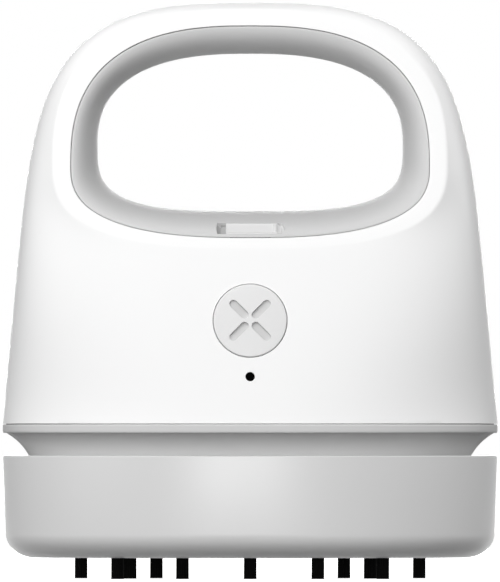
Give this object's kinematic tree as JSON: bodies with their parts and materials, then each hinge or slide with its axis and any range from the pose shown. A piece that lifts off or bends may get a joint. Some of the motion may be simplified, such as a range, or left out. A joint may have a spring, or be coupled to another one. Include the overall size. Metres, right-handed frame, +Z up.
{
  "type": "desktop mini vacuum cleaner",
  "caption": "Bag-shaped hand vacuum for desk crumbs, with a handle loop, push button, slide switch, pull-off dust box and brush tufts round its inlet.",
  "frame": {"origin": "centre of the footprint, on the surface that the bristle tips stand on", "axes": "+Z up, the front with the power button faces -Y, +X to the right seen from the front"},
  "size_m": [0.11, 0.059, 0.128],
  "materials": {
    "white_shell": "white moulded ABS with a soft gloss",
    "grey_plastic": "light grey moulded ABS, satin",
    "light_grey_plastic": "pale grey moulded ABS",
    "black_nylon": "black nylon bristle",
    "dark_plastic": "dark moulded nylon",
    "circuit_board": "green solder mask",
    "steel": "nickel-plated steel",
    "bronze": "sintered bronze",
    "rubber": "soft moulded rubber",
    "filter_paper": "pleated non-woven filter medium",
    "cell_wrap": "plain blue shrink wrap",
    "smoked_lens": "smoked clear polycarbonate",
    "diode": "pale cast resin"
  },
  "bodies": {
    "housing": {"front_shell": "white_shell", "rear_shell": "white_shell", "grip_ring": "grey_plastic", "neck_collar": "grey_plastic", "collar_screw_front_left": "steel", "collar_screw_front_right": "steel", "collar_screw_rear_left": "steel", "collar_screw_rear_right": "steel", "power_switch": "dark_plastic", "button_board": "circuit_board", "light_pipe": "smoked_lens", "status_light": "diode", "slide_switch": "dark_plastic", "slide_board": "circuit_board", "fan_housing": "dark_plastic", "motor_damper": "rubber", "motor_can": "steel", "lower_bush": "bronze", "upper_bush": "bronze", "motor_end_cap": "dark_plastic", "battery_left": "cell_wrap", "battery_right": "cell_wrap", "charge_board": "circuit_board", "usb_socket": "steel", "filter_seal": "rubber"},
    "power_button": {"power_button": "light_grey_plastic", "switch_plunger": "dark_plastic"},
    "slide_knob": {"slide_knob": "light_grey_plastic"},
    "rotor": {"impeller": "light_grey_plastic", "motor_shaft": "steel"},
    "dust_box": {"dust_box": "grey_plastic", "filter_frame": "light_grey_plastic", "filter_pleats": "filter_paper", "brush_front": "black_nylon", "brush_rear": "black_nylon", "brush_left": "black_nylon", "brush_right": "black_nylon"}
  },
  "joints": [
    {"name": "power_press", "type": "slide", "parent": "housing", "child": "power_button", "axis": [0, 0.9898, -0.1423], "range_m": [0, 0.0006], "stiffness_N_per_m": 1000, "springref_m": -0.0005},
    {"name": "speed_slide", "type": "slide", "parent": "housing", "child": "slide_knob", "axis": [-1, 0, 0], "range_m": [0, 0.0018]},
    {"name": "fan_spin", "type": "hinge", "parent": "housing", "child": "rotor", "pos_m": [0, 0, 0.05], "axis": [0, 0, 1], "continuous": true},
    {"name": "dust_box_release", "type": "slide", "parent": "housing", "child": "dust_box", "axis": [0, 0, -1], "range_m": [0, 0.03]}
  ]
}
